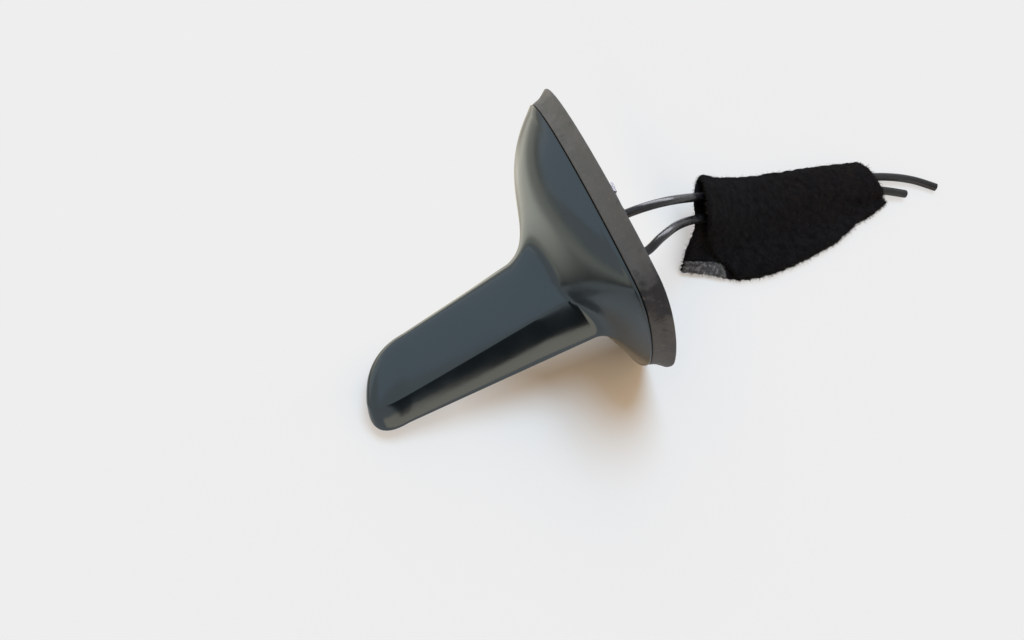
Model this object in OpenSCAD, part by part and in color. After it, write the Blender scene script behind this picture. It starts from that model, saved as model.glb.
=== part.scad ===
// Roof antenna: a hollow moulded cover of dome and raked fin on a rubber skirted base, with the
// positioning patch and the phone radiator inside and two coaxial cables out of the underside.
// X runs forward to the nose, Y to the left and Z up out of the roof. The origin is on the roof
// skin, on the axis of the fixing screw.

/* [Footprint] */
// Distance from the fixing screw to the gasket's nose
nose_x = 57.5; // [53:0.5:65]
// Distance from the fixing screw back to the gasket's tail
tail_x = 44.5; // [42:0.5:51]
// Half of the gasket's greatest width
half_w = 33; // [31:1:38]
// How far behind the fixing screw the footprint is widest
widest_back = 23.5; // [20:0.5:28]

/* [Gasket] */
// Height of the rubber skirt above the roof
skirt_h = 6.5; // [5.5:0.1:8]
// How far the skirt flares out from seam to roof
skirt_flare = 3.3; // [2.6:0.1:4]
// Thickness of the skirt at the seam
skirt_t = 2; // [1.5:0.1:2.4]
// Thickness of the flange between base plate and roof
flange_t = 2; // [1.5:0.1:2.6]
// Width of that flange, inward from the base plate's edge
flange_w = 3.6; // [2.5:0.1:4.5]

/* [Cover] */
// Gap that shows as a dark line between cover and skirt
seam_gap = 0.3; // [0.2:0.1:0.6]
// Wall of the moulded cover
wall = 2.5; // [2:0.1:3]
// Width of the cover's lower edge
edge_w = 4.2; // [3.4:0.1:5]
// Height of the dome's shoulder above the seam, at the nose
dome_rise = 23.6; // [21:0.2:25]

/* [Fin] */
// Height of the fin's front edge where it leaves the dome
root_front_z = 36; // [33:0.5:40]
// Height of the fin's back edge where it leaves the dome
root_back_z = 20; // [18:0.5:23]
// Height of the front edge where the tip starts to round off
tip_front_z = 75; // [66:0.5:84]
// Height of the back edge where the tip starts to round off
tip_back_z = 84; // [76:0.5:92]
// Rise of the rounded tip above that
tip_rise = 14.2; // [11:0.2:17]
// Place of the front edge at the fin's root
front_x = 6.5; // [4:0.5:9]
// Lean of the front edge from upright, in degrees
front_lean = 11.5; // [8:0.5:15]
// How far behind the fixing screw the back face stands at the root
back_back = 26.8; // [25:0.1:29]
// Lean of the back face from upright, in degrees
back_lean = 1.8; // [0:0.1:5]
// Half thickness of the fin at its root
fin_half_root = 9.2; // [8:0.1:11]
// Half thickness of the fin at its tip
fin_half_tip = 5.2; // [4.4:0.1:6]
// Depth of the rounded back face at the root
back_depth_root = 12.5; // [10:0.1:13.5]
// Depth of the rounded back face at the tip
back_depth_tip = 7.2; // [5:0.1:9]
// How much lower the fin's sides reach into the dome than its front and back edges
side_dip = 3.5; // [0:0.5:4.5]

/* [Base plate] */
// Thickness of the cast base plate
plate_t = 3.5; // [3:0.1:4.2]
// Clearance between the plate's edge and the skirt
plate_clear = 0.2; // [0.1:0.05:0.4]
// Length of the boss that fills the roof hole
boss_l = 34; // [32:0.5:37]
// Width of that boss
boss_w = 20; // [18:0.5:22]
// Corner radius of that boss
boss_r = 3; // [2:0.5:4]
// How far the boss reaches below the roof skin
boss_drop = 4.5; // [4:0.1:5.2]
// Radius of the tapped hole for the fixing screw
fixing_r = 2.5; // [2:0.1:2.7]
// Depth of the tapped hole
fixing_l = 8.8; // [7.5:0.1:8.8]
// Width of the ribs under the plate
rib_w = 1.2; // [0.8:0.1:1.6]
// Height of those ribs
rib_h = 1.3; // [0.8:0.1:1.5]
// Length of those ribs
rib_l = 3.8; // [3:0.2:4]
// Gap between a rib and the foam ring
rib_gap = 0.3; // [0.2:0.1:0.6]

/* [Seal and clips] */
// Clearance between boss and foam ring
foam_clear = 0.3; // [0.2:0.1:0.5]
// Gap between the foam ring and the heads of the side screws
foam_gap = 0.5; // [0.3:0.1:1]
// Width of the seal between cover and base plate
cover_seal_w = 1.5; // [1.2:0.1:1.6]
// Thickness of the spring clips
clip_t = 0.7; // [0.5:0.1:0.9]
// Width of a spring clip
clip_w = 3.2; // [2.6:0.2:4]
// How far a clip's strap stands out of its groove
clip_proud = 0.4; // [0:0.1:0.5]
// Distance of each clip's middle from the boss's end
clip_in = 3; // [2.6:0.1:3.2]
// Clearance beside a clip in its groove
clip_clear = 0.1; // [0.05:0.05:0.2]
// How far a clip's arm springs out from the boss
clip_spread = 2.6; // [2:0.1:3.5]
// Thickness of the roof skin that the clips catch under
roof_t = 0.9; // [0.7:0.1:1.2]

/* [Cables] */
// Radius of a cable
cable_r = 1.55; // [1.4:0.05:1.65]
// Distance of each cable from the fixing screw
cable_x = 7.2; // [7:0.1:7.4]
// Clearance round the cable in its grommet
cable_clear = 0.1; // [0.05:0.05:0.2]
// Radius of the grommet in the plate
grommet_r = 3; // [2.8:0.1:3.2]
// How far a grommet's flange stands out past its hole
grommet_lip = 0.9; // [0.6:0.1:1]
// Thickness of that flange
grommet_flange = 1; // [0.8:0.1:1.2]
// How far the grommet's nose reaches below the boss
grommet_nose = 2.2; // [1.6:0.1:3]
// Wall of the grommet's nose at its end
grommet_wall = 0.6; // [0.5:0.1:0.8]
// Wall of a ferrule on the cable's end
ferrule_wall = 0.5; // [0.3:0.1:0.6]
// Clearance between a ferrule and the cable
ferrule_clear = 0.05; // [0.02:0.01:0.1]
// Gap between a ferrule and the grommet below it
ferrule_gap = 0.2; // [0.1:0.05:0.3]

/* [Circuit board] */
// Thickness of the board
board_t = 1.6; // [1:0.1:1.8]
// Height of the board above the plate
board_lift = 3; // [2.8:0.1:3.3]
// Front end of the board
board_front = 32; // [31.5:0.5:33.5]
// Distance from the fixing screw back to the board's rear end
board_back = 24; // [23.5:0.5:25]
// Half width of the board
board_half = 13.5; // [13:0.1:14]
// Distance of the board's rounded front from the gasket's rim
board_inset = 13.5; // [12.5:0.5:14]
// Radius of the board's posts
post_r = 2.5; // [2.2:0.1:2.7]
// Radius of the board screws' shanks
board_screw_r = 1; // [0.9:0.1:1.1]
// Radius of the board screws' heads
board_head_r = 1.9; // [1.7:0.1:2]
// Height of the board screws' heads
board_head_h = 1.2; // [1:0.1:1.5]
// How far a board screw reaches into its post
board_screw_bite = 4; // [3:0.1:5]

/* [Cover screws] */
// Radius of the cover screws' shanks
cover_screw_r = 1.5; // [1.3:0.1:1.6]
// Clearance round a cover screw in the plate
cover_screw_clear = 0.2; // [0.1:0.05:0.3]
// Radius of the cover screws' heads
cover_head_r = 2.8; // [2.4:0.1:2.8]
// Height of the cover screws' heads
cover_head_h = 1.5; // [1.2:0.1:1.8]
// Radius of the columns that the cover screws go into
column_r = 3.2; // [2.8:0.1:3.3]
// How far a cover screw reaches above the plate
cover_screw_bite = 3.4; // [2.5:0.1:3.8]

/* [Receiver] */
// Side of the square ceramic patch
patch_w = 18; // [15:0.5:18.5]
// Thickness of the ceramic patch
patch_t = 4; // [3:0.1:4]
// Thickness of the pad under the patch
patch_pad_t = 1; // [0.5:0.1:1]
// Place of the patch's centre
patch_x = 16; // [15.8:0.1:16.4]
// Side of the silvered face on the patch
electrode_w = 14; // [12:0.5:15]
// Thickness of that face
electrode_t = 0.15; // [0.1:0.05:0.3]
// Radius of the patch's feed pin
feed_r = 0.5; // [0.4:0.1:0.6]
// Radius of the feed pin's head
feed_head_r = 1; // [0.8:0.1:1.4]
// How far the feed pin stands off the patch's centre
feed_off = 2.5; // [1.5:0.1:4]
// Length of the shield can
can_l = 11; // [9:0.5:12]
// Width of the shield can
can_w = 18; // [14:0.5:19]
// Height of the shield can
can_h = 2.8; // [2.4:0.1:3.2]
// Sheet thickness of the shield can
can_t = 0.3; // [0.2:0.1:0.4]
// Side of the filter
filter_w = 4; // [3:0.5:5]
// Height of the filter
filter_h = 1.4; // [1:0.1:1.8]
// Side of the amplifier
amplifier_w = 3; // [2:0.5:4]
// Height of the amplifier
amplifier_h = 0.9; // [0.6:0.1:1.2]
// Length of a chip capacitor
capacitor_l = 1.6; // [1:0.1:2]
// Width and height of a chip capacitor
capacitor_w = 0.8; // [0.5:0.1:1]

/* [Radiator] */
// Thickness of the phone radiator's board
radiator_t = 1; // [0.8:0.1:1.4]
// Clearance between the radiator and the cover's inside
radiator_gap = 2.5; // [2:0.1:3.5]
// Height of the radiator's top above the roof
radiator_top = 80; // [66:1:82]
// Width of the slot between the radiator's two arms
radiator_slot = 2; // [1:0.1:3]
// Distance from the fixing screw back to the middle of the holder
holder_back = 12.2; // [12:0.1:12.6]
// Length of the holder that grips the radiator's foot
holder_l = 12; // [11:0.2:12.2]
// Height of that holder
holder_h = 5; // [4:0.2:5.4]
// Width of that holder
holder_w = 6; // [5:0.5:7]
// Clearance between the radiator and the holder's slot
holder_clear = 0.1; // [0.05:0.05:0.2]
// Wall of the holder at the slot's ends and floor
holder_wall = 1.5; // [1.2:0.1:1.8]

/* [Felt] */
// Thickness of the felt
felt_t = 1.8; // [1.2:0.1:2]
// Clearance between felt and cables
felt_clear = 0.35; // [0.3:0.05:0.6]
// Clearance between the felt's two layers, and under them
felt_gap = 0.2; // [0.1:0.05:0.4]

/* [Hidden] */
$fn = 48;
around = 48;            // points round the footprint
nose_power = 1.3;       // below 2 draws the nose to a point
tail_power = 2.1;       // 2 rounds off the tail like an ellipse
side_power = 1.6;
front_power = 2.4;      // roundness of the fin's section ahead of its ridge
back_power = 1.27;      // and behind it, where the flanks slant to the trailing edge
front_narrow = 0.22;    // share of its thickness that the fin loses toward the front edge
// Handles of the curve from the seam up to the fin's root, each as [behind, ahead]
dome_blend = 1.3;               // how late the form behind gives way to the form ahead
dome_leave = [0.45, 0.43];      // reach of the lower handle, as a share of the way in
dome_join = [-0.03, 0.11];      // reach of the upper handle back from the root, as a share too
dome_climb = [5, dome_rise];    // height of the lower handle above the seam
dome_fall = [7, 15];            // depth of the upper handle below the root
dome_thin = [0.4, 1.2];         // how far both drop for the inside, as a share of the wall
flank_ease = 3;                 // how much less height and depth the dome's sides get
dome_rings = 13;
fin_rings = 6;
tip_rings = 7;
tip_lean = 0.13;        // backward lean of the tip's middle, as a share of its rise
tip_close = 0.8;        // below 1 keeps the tip blunt in length
tip_narrow = 0.4;       // and in thickness
back_thin = 0.3;        // how much shallower the back face is inside, as a share of the wall
touch = 0.01;           // sink of one solid of a node into the next
// Outside of the skirt's section, as [share of the flare, share of the height]
skirt_curve = [[0, 0], [0.14, 0.16], [0.6, 0.46], [0.88, 0.78], [1, 1]];

seam_z = skirt_h + seam_gap;
plate_bottom = flange_t;
plate_top = plate_bottom + plate_t;
board_z = plate_top + board_lift;
board_top = board_z + board_t;
patch_z = board_top + patch_pad_t;
electrode_z = patch_z + patch_t;
plate_inset = skirt_flare + skirt_t + plate_clear;
bore_r = cable_r + cable_clear;
// Foot of the seal under the cover's edge, inward from the rim
cover_seal_off = skirt_flare + edge_w;

// Distance of the board's screws from its ends and from its middle, each as [front, rear]
board_screw_in = [3.5, 4];
board_screw_y = [6.5, 9.5];
board_screw_places = [for (side = [1, -1]) each [
    [board_front - board_screw_in[0], side * board_screw_y[0]],
    [board_screw_in[1] - board_back, side * board_screw_y[1]]]];
// The cover's side screws keep their heads clear of the gasket's flange
side_screw_y = half_w * sqrt(1 - pow(widest_back / (nose_x + widest_back), nose_power))
    - plate_inset - flange_w - cover_head_r;
// The foam ring fills the space from the boss to those heads
foam_w = side_screw_y - cover_head_r - foam_gap - boss_w / 2 - foam_clear;
clip_x = boss_l / 2 - clip_in;
cover_screw_places = [[40, 0], [0, side_screw_y], [0, -side_screw_y], [-30, 10], [-30, -10]];
// Places of the ribs along the boss, and of the small parts under the shield can
rib_places = [6, 12];
clip_hook = 1.2;        // height and inward lean of the bent end of a clip's arm
clip_curl = 0.8;
grommet_taper = 0.4;    // slant of the grommet's nose, step of its lower rim and that rim's thickness
grommet_step = 0.3;
grommet_rim = 0.8;
chip_y = 3.5;
capacitor_places = [3.4, 5.5];
radiator_neck = 6;      // height over which the radiator widens above its holder
radiator_below = 4;     // how far below the fin's root its arms begin, and the web under the slot
arm_corner = [4, 3];    // corners of the front arm and the rear arm
arm_slot = 3;           // how far behind the holder's middle the slot between them begins
// Clearance in a hole that a pin or screw only passes through, and beyond a screw's end
pass_clear = 0.1;
end_clear = 0.3;
// How far a cutting solid runs past the face that it opens
over = 1;

// Table that the cables and the felt lie on: it leans against the rim and the fin's side.
// A point on it is given as [forward, along, above].
table_lean = 17;
table_off = half_w * cos(table_lean);
front_route = [[7.2, 9, 34.3], [7.1, 16, 35], [7.3, 24, 33.2], [8, 34, 28], [9, 45, 20.8], [9.3, 57, 13.8],
    [9, 69, 8.2], [8.1, 82, 5], [6.9, 96, 4.1], [5.2, 110, 4], [3.4, 122, 4], [1.3, 133, 3.3],
    [-1.5, 143, 2.4], [-5.1, 151, 1.9], [-9.8, 158, 1.7]];
rear_route = [[-6.9, 8, 33.9], [-4.8, 13, 34.4], [-2.4, 19.5, 32.6], [-0.2, 26.5, 28.4], [1.6, 35, 22.8],
    [2.7, 44, 17], [3.3, 55, 12], [3.3, 67, 7.6], [2.5, 80, 5], [1.5, 94, 4.1], [-0.1, 108, 4],
    [-2.1, 121, 4], [-4.3, 131, 3.5], [-8.5, 142.5, 2]];
// Heights of the straight stretch inside the grommet
cable_starts = [8.2, 2, -3];
// Outline of the felt as it lies: its folded top edge and its lower edge, as [along, forward]
felt_fold = [[40, 16.9], [49, 16.9], [62, 15.8], [86, 14.2], [106, 11.8], [120, 9.4], [128, 8.2]];
felt_hem = [[36, -9], [45, -13], [52, -17.4], [59, -20], [69, -21.3], [82, -20.7], [98, -18.4],
    [106, -17.2], [113, -13.8], [124, -12], [132, -9.6]];

function mix(a, b, k) = a + (b - a) * k;
function power(v, p) = sign(v) * pow(abs(v), p);
function unit(v) = v / norm(v);
function angles() = [for (i = [0 : around - 1]) 360 * (i + 0.5) / around];

// Footprint at an angle, grown by off: a pointed front half and a rounded rear half
function footprint(t, off) =
    let (c = cos(t), s = sin(t))
    c >= 0
        ? [-widest_back + (nose_x + widest_back + off) * pow(c, 2 / nose_power), (half_w + off) * s]
        : [-widest_back - (tail_x - widest_back + off) * pow(-c, 2 / tail_power),
            (half_w + off) * power(s, 2 / side_power)];
function outline(off) = [for (t = angles()) footprint(t, off)];

// Ring of faces between two rings of points, the second one above the first
function band(n, a, b) = [for (i = [0 : n - 1]) each [
    [a + i, b + i, b + (i + 1) % n], [a + i, b + (i + 1) % n, a + (i + 1) % n]]];

// The fin: straight front and back edges, and a thickness that tapers to the tip
function fin_front(z, inset) = front_x - (z - root_front_z) * tan(front_lean) - inset;
function fin_back(z, inset) = -back_back - (z - root_back_z) * tan(back_lean) + inset;
function fin_half(z, inset) =
    mix(fin_half_root, fin_half_tip, max(0, z - root_front_z) / (tip_back_z - root_front_z)) - inset;

// A point on the fin at angle t on the ring that lies v of the way from root to tip
function fin_point(t, v, inset) =
    let (c = cos(t), s = sin(t),
        front_z = mix(root_front_z, tip_front_z, v),
        back_z = mix(root_back_z, tip_back_z, v),
        fx = fin_front(front_z, inset),
        bx = fin_back(back_z, inset),
        depth = mix(back_depth_root, back_depth_tip, v) - inset * back_thin,
        ridge = bx + depth,
        x = c >= 0 ? ridge + (fx - ridge) * pow(c, 2 / front_power) : ridge - depth * pow(-c, 2 / back_power),
        narrow = c >= 0 ? 1 - front_narrow * (x - ridge) / (fx - ridge) : 1,
        z = mix(back_z, front_z, (x - bx) / (fx - bx)) - side_dip * (1 - v) * s * s)
    [x, fin_half(z, inset) * narrow * power(s, c >= 0 ? 2 / front_power : 2 / back_power), z];

// The dome: a curve at each angle from the seam up into the fin's root
function dome_point(t, u, inset, edge_inset) =
    let (seam = footprint(t, -skirt_flare - edge_inset),
        root = fin_point(t, 0, inset),
        toward = [root[0] - seam[0], root[1] - seam[1]],
        turn = (1 + cos(t)) / 2,
        ahead = pow(turn, dome_blend),
        flank = pow(sin(t), 2) * (1 - turn),
        leave = mix(dome_leave[0], dome_leave[1], ahead),
        join = mix(dome_join[0], dome_join[1], turn),
        drop = inset * mix(dome_thin[0], dome_thin[1], ahead),
        rise = mix(dome_climb[0], dome_climb[1], ahead) - flank_ease * flank - drop,
        fall = mix(dome_fall[0], dome_fall[1], ahead) - flank_ease * flank,
        low = [seam[0], seam[1], seam_z],
        second = [seam[0] + toward[0] * leave, seam[1] + toward[1] * leave, seam_z + rise],
        third = [root[0] - toward[0] * join, root[1] - toward[1] * join, root[2] - fall - drop],
        a = pow(1 - u, 3), b = 3 * u * pow(1 - u, 2), d = 3 * u * u * (1 - u), e = pow(u, 3))
    a * low + b * second + d * third + e * root;

// The tip: the last fin ring drawn together over a rounded end
function tip_point(t, w, inset) =
    let (rim = fin_point(t, 1, inset),
        front = fin_point(0, 1, inset),
        back = fin_point(180, 1, inset),
        centre = (front + back) / 2,
        close = pow(cos(90 * w), tip_close),
        narrow = pow(cos(90 * w), tip_narrow),
        rise = (tip_rise - inset) * pow(sin(90 * w), tip_close))
    [centre[0] + (rim[0] - centre[0]) * close - rise * tip_lean,
        rim[1] * narrow,
        centre[2] + (rim[2] - centre[2]) * close + rise];

// Rings of the whole cover surface, from the seam to just short of the tip's end
function skin_rings(inset, edge_inset) = concat(
    [for (k = [0 : dome_rings]) [for (t = angles()) dome_point(t, k / dome_rings, inset, edge_inset)]],
    [for (k = [1 : fin_rings]) [for (t = angles()) fin_point(t, k / fin_rings, inset)]],
    [for (k = [1 : tip_rings - 1]) [for (t = angles()) tip_point(t, k / tip_rings, inset)]]);

// A closed solid from stacked rings of points, flat below and pointed above
module stack(rings, end) {
    n = len(rings[0]);
    m = len(rings);
    points = concat([for (r = rings) each r], [end]);
    polyhedron(points, concat(
        [[for (i = [0 : n - 1]) i]],
        [for (k = [0 : m - 2]) each band(n, k * n, (k + 1) * n)],
        [for (i = [0 : n - 1]) [(m - 1) * n + i, m * n, (m - 1) * n + (i + 1) % n]]), convexity = 6);
}

module skin(inset, edge_inset) {
    stack(skin_rings(inset, edge_inset), tip_point(0, 1, inset));
}

// A closed ring that follows the footprint, with the section given as [off, height] points
module rim(section) {
    n = len(section);
    points = [for (t = angles()) for (p = section) let (f = footprint(t, p[0])) [f[0], f[1], p[1]]];
    polyhedron(points, [for (j = [0 : around - 1]) each band(n, (j + 1) % around * n, j * n)], convexity = 6);
}

// A round bar swept along points that never run along X
module tube(points, r, sides) {
    m = len(points);
    rings = [for (i = [0 : m - 1])
        let (t = unit(points[min(i + 1, m - 1)] - points[max(i - 1, 0)]),
            u = unit(cross(t, [1, 0, 0])),
            v = cross(u, t))
        [for (k = [0 : sides - 1]) points[i] + r * (u * cos(360 * k / sides) + v * sin(360 * k / sides))]];
    polyhedron([for (ring = rings) each ring], concat(
        [[for (k = [sides - 1 : -1 : 0]) k]],
        [for (i = [0 : m - 2]) each [for (f = band(sides, i * sides, (i + 1) * sides)) [f[0], f[2], f[1]]]],
        [[for (k = [0 : sides - 1]) (m - 1) * sides + k]]), convexity = 6);
}

// A thick sheet between two grids of points with the same rows and columns
module sheet(front, back) {
    m = len(front);
    n = len(front[0]);
    half = m * n;
    function at(i, j) = i * n + j;
    points = concat([for (row = front) each row], [for (row = back) each row]);
    polyhedron(points, concat(
        [for (i = [0 : m - 2]) for (j = [0 : n - 2]) each [
            [at(i, j), at(i + 1, j), at(i + 1, j + 1)], [at(i, j), at(i + 1, j + 1), at(i, j + 1)],
            [half + at(i, j), half + at(i + 1, j + 1), half + at(i + 1, j)],
            [half + at(i, j), half + at(i, j + 1), half + at(i + 1, j + 1)]]],
        [for (i = [0 : m - 2]) each [
            [at(i, 0), half + at(i, 0), half + at(i + 1, 0)], [at(i, 0), half + at(i + 1, 0), at(i + 1, 0)],
            [at(i, n - 1), half + at(i + 1, n - 1), half + at(i, n - 1)],
            [at(i, n - 1), at(i + 1, n - 1), half + at(i + 1, n - 1)]]],
        [for (j = [0 : n - 2]) each [
            [at(0, j), half + at(0, j + 1), half + at(0, j)], [at(0, j), at(0, j + 1), half + at(0, j + 1)],
            [at(m - 1, j), half + at(m - 1, j), half + at(m - 1, j + 1)],
            [at(m - 1, j), half + at(m - 1, j + 1), at(m - 1, j + 1)]]]), convexity = 8);
}

module rounded(l, w, r) {
    square([l - 2 * r, w], center = true);
    square([l, w - 2 * r], center = true);
    for (x = [-1, 1], y = [-1, 1]) translate([x * (l / 2 - r), y * (w / 2 - r)]) circle(r);
}

module at_places(places, z) {
    for (p = places) translate([p[0], p[1], z]) children();
}

module cover() {
    color([0.13, 0.16, 0.18]) difference() {
        union() {
            difference() {
                skin(0, 0);
                translate([0, 0, -touch]) skin(wall, edge_w);
            }
            at_places(cover_screw_places, plate_top) cylinder(r = column_r, h = seam_z + over - plate_top);
            intersection() {
                at_places(cover_screw_places, seam_z + touch) cylinder(r = column_r, h = dome_rise);
                skin(wall / 2, edge_w / 2);
            }
        }
        at_places(cover_screw_places, plate_top - over)
            cylinder(r = cover_screw_r, h = over + cover_screw_bite + end_clear);
    }
}

module gasket() {
    inner = -skirt_flare - skirt_t;
    color([0.2, 0.19, 0.17]) rim(concat(
        [for (p = skirt_curve) [-p[0] * skirt_flare, p[1] * skirt_h]],
        [[inner, skirt_h],
            [inner, flange_t],
            [inner - plate_clear - flange_w, flange_t],
            [inner - plate_clear - flange_w, 0]]));
}

module grommet_holes() {
    for (x = [-cable_x, cable_x]) translate([x, 0, -boss_drop - over])
        cylinder(r = grommet_r, h = boss_drop + plate_top + 2 * over);
}

module clip_grooves() {
    for (x = [-clip_x, clip_x]) translate([x - clip_w / 2 - clip_clear, -boss_w, -boss_drop - over])
        cube([clip_w + 2 * clip_clear, 2 * boss_w, over + clip_t - clip_proud]);
}

// Ribs under the plate, from the foam ring out toward the flange
module plate_ribs() {
    z = plate_bottom - rib_h;
    foam_x = boss_l / 2 + foam_clear + foam_w + rib_gap;
    foam_y = boss_w / 2 + foam_clear + foam_w + rib_gap;
    for (side = [0, 180]) rotate(side) {
        translate([foam_x, -rib_w / 2, z]) cube([rib_l, rib_w, rib_h + touch]);
        for (x = rib_places) translate([x - rib_w / 2, foam_y, z]) cube([rib_w, rib_l, rib_h + touch]);
    }
}

module base_plate() {
    color([0.62, 0.63, 0.64]) difference() {
        union() {
            translate([0, 0, plate_bottom]) linear_extrude(plate_t) polygon(outline(-plate_inset));
            translate([0, 0, -boss_drop]) linear_extrude(boss_drop + plate_bottom + touch)
                rounded(boss_l, boss_w, boss_r);
            at_places(board_screw_places, plate_top - touch) cylinder(r = post_r, h = board_lift + touch);
            plate_ribs();
        }
        translate([0, 0, -boss_drop - over]) cylinder(r = fixing_r, h = over + fixing_l);
        grommet_holes();
        clip_grooves();
        at_places(board_screw_places, board_z - board_screw_bite - end_clear)
            cylinder(r = board_screw_r, h = board_screw_bite + end_clear + over);
        at_places(cover_screw_places, plate_bottom - over)
            cylinder(r = cover_screw_r + cover_screw_clear, h = plate_t + 2 * over);
    }
}

module hole_seal() {
    color([0.12, 0.12, 0.12]) linear_extrude(plate_bottom) difference() {
        grow = 2 * (foam_clear + foam_w);
        rounded(boss_l + grow, boss_w + grow, boss_r + foam_clear + foam_w);
        rounded(boss_l + 2 * foam_clear, boss_w + 2 * foam_clear, boss_r + foam_clear);
    }
}

module cover_seal() {
    color([0.08, 0.08, 0.08]) rim([[-cover_seal_off + cover_seal_w, plate_top],
        [-cover_seal_off + cover_seal_w, seam_z], [-cover_seal_off, seam_z], [-cover_seal_off, plate_top]]);
}

// A strip bent into a shallow channel under the boss, with its arms sprung out toward the roof skin
module clip(x) {
    base = -boss_drop - clip_proud;
    side = boss_w / 2 + clip_clear;
    tip = side + clip_spread;
    top = -roof_t - clip_clear;
    half = [[side + clip_t, base], [tip + clip_t, top - clip_hook], [tip + clip_t - clip_curl, top],
        [tip - clip_curl, top], [tip, top - clip_hook], [side, base + clip_t]];
    color([0.72, 0.72, 0.7]) translate([x + clip_w / 2, 0, 0]) rotate([90, 0, -90]) linear_extrude(clip_w)
        polygon(concat(half, [for (k = [len(half) - 1 : -1 : 0]) [-half[k][0], half[k][1]]]));
}

module front_clip() clip(clip_x);
module rear_clip() clip(-clip_x);

module grommet(x) {
    nose = -boss_drop - grommet_nose;
    rim_z = -boss_drop - grommet_rim;
    lip = grommet_r + grommet_lip;
    color([0.1, 0.1, 0.1]) translate([x, 0, 0]) rotate_extrude() polygon([
        [bore_r, nose], [bore_r + grommet_wall, nose], [grommet_r - grommet_taper, rim_z],
        [lip - grommet_step, rim_z], [lip - grommet_step, -boss_drop], [grommet_r, -boss_drop],
        [grommet_r, plate_top], [lip, plate_top], [lip, plate_top + grommet_flange],
        [bore_r, plate_top + grommet_flange]]);
}

module front_grommet() grommet(cable_x);
module rear_grommet() grommet(-cable_x);

module circuit_board() {
    color([0.1, 0.36, 0.2]) difference() {
        translate([0, 0, board_z]) linear_extrude(board_t) intersection() {
            polygon(outline(-board_inset));
            translate([-board_back, -board_half]) square([board_back + board_front, 2 * board_half]);
        }
        at_places(board_screw_places, board_z - over)
            cylinder(r = board_screw_r + pass_clear, h = board_t + 2 * over);
        translate([patch_x + feed_off, 0, board_z - over])
            cylinder(r = feed_r + pass_clear, h = board_t + 2 * over);
    }
}

// A screw with a rounded head at z = 0 and its shank downward
module screw(shank_r, shank_l, head_r, head_h) {
    rotate_extrude() polygon([[0, -shank_l], [shank_r - 0.3, -shank_l], [shank_r, -shank_l + 0.5],
        [shank_r, 0], [head_r, 0], [head_r, head_h * 0.5], [head_r * 0.8, head_h * 0.85], [head_r * 0.45, head_h],
        [head_r * 0.4, head_h * 0.5], [0, head_h * 0.4]]);
}

module board_screws() {
    color([0.75, 0.75, 0.75]) at_places(board_screw_places, board_top)
        screw(board_screw_r, board_t + board_screw_bite, board_head_r, board_head_h);
}

module cover_screws() {
    color([0.7, 0.7, 0.7]) at_places(cover_screw_places, plate_bottom) mirror([0, 0, 1])
        screw(cover_screw_r, plate_t + cover_screw_bite, cover_head_r, cover_head_h);
}

module patch_layer(z, w, t) {
    difference() {
        translate([patch_x - w / 2, -w / 2, z]) cube([w, w, t]);
        translate([patch_x + feed_off, 0, z - over]) cylinder(r = feed_r + pass_clear, h = t + 2 * over);
    }
}

module patch_pad() color([0.9, 0.9, 0.86]) patch_layer(board_top, patch_w, patch_pad_t);
module patch_ceramic() color([0.82, 0.77, 0.66]) patch_layer(patch_z, patch_w, patch_t);
module patch_electrode() color([0.85, 0.85, 0.84]) patch_layer(electrode_z, electrode_w, electrode_t);

module feed_pin() {
    top = electrode_z + electrode_t;
    color([0.85, 0.84, 0.8]) translate([patch_x + feed_off, 0, 0]) rotate_extrude() polygon([
        [0, board_z - 1], [feed_r, board_z - 1], [feed_r, top], [feed_head_r, top],
        [feed_head_r * 0.7, top + 0.3], [0, top + 0.4]]);
}

module shield_can() {
    color([0.8, 0.8, 0.78]) translate([0, 0, board_top]) difference() {
        translate([-can_l / 2, -can_w / 2, 0]) cube([can_l, can_w, can_h]);
        translate([can_t - can_l / 2, can_t - can_w / 2, -over])
            cube([can_l - 2 * can_t, can_w - 2 * can_t, can_h - can_t + over]);
    }
}

module on_board(x, y, l, w, h) {
    translate([x - l / 2, y - w / 2, board_top]) cube([l, w, h]);
}

module filter_chip() color([0.75, 0.7, 0.6]) on_board(0, chip_y, filter_w, filter_w, filter_h);
module amplifier_chip() color([0.08, 0.08, 0.08]) on_board(0, -chip_y, amplifier_w, amplifier_w, amplifier_h);

module capacitors() {
    color([0.7, 0.6, 0.45]) for (x = [-1, 1], y = [-1, 0, 1])
        on_board(x * capacitor_places[0], y * capacitor_places[1], capacitor_l, capacitor_w, capacitor_w);
}

module radiator_holder() {
    slot = radiator_t + 2 * holder_clear;
    color([0.88, 0.88, 0.84]) translate([-holder_back, 0, board_top]) difference() {
        linear_extrude(holder_h) rounded(holder_l, holder_w, 1);
        translate([holder_wall - holder_l / 2, -slot / 2, holder_wall])
            cube([holder_l - 2 * holder_wall, slot, holder_h]);
    }
}

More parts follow.
